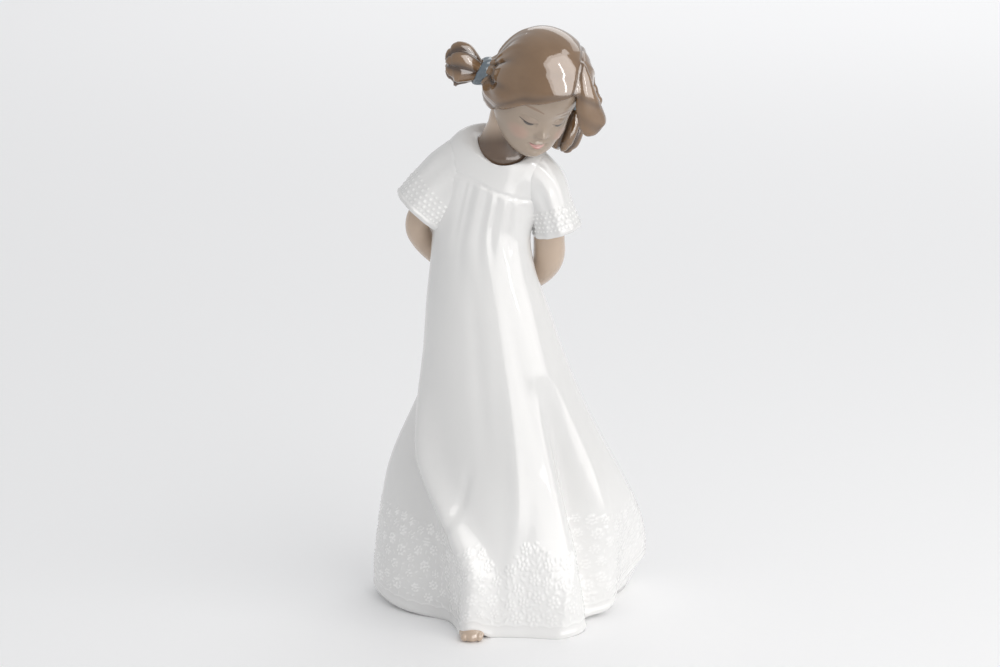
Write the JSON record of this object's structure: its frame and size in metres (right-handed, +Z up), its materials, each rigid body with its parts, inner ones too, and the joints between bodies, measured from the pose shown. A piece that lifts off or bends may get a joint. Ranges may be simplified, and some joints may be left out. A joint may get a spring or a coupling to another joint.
{
  "type": "figurine",
  "caption": "Glazed porcelain figurine of a standing child in a long lace-hemmed gown, head bowed, hair in two short bunches, hands clasped behind the back.",
  "frame": {"origin": "centre of the bounding box on the ground under the hem", "axes": "+Z up along the height, +Y towards the figure's back, +X towards the figure's left side"},
  "size_m": [0.1308, 0.0942, 0.2755],
  "materials": {
    "white_glaze": "gloss glaze over white porcelain",
    "skin_glaze": "gloss glaze over pale brown underglaze",
    "hair_glaze": "gloss glaze over brown underglaze, darker where it pools",
    "tie_glaze": "gloss glaze over blue-grey underglaze",
    "bisque": "unglazed, matte"
  },
  "bodies": {
    "root": {"gown": "white_glaze", "base_plate": "bisque", "toe_cap": "skin_glaze", "right_sleeve": "white_glaze", "left_sleeve": "white_glaze", "right_arm": "skin_glaze", "left_arm": "skin_glaze", "right_hand": "skin_glaze", "left_hand": "skin_glaze", "neck": "skin_glaze", "head": "skin_glaze", "hair_cap": "hair_glaze", "swept_fringe": "hair_glaze", "side_lock": "hair_glaze", "back_lock": "hair_glaze", "right_ponytail": "hair_glaze", "left_ponytail": "hair_glaze", "right_hair_tie": "tie_glaze", "left_hair_tie": "tie_glaze"}
  },
  "joints": []
}
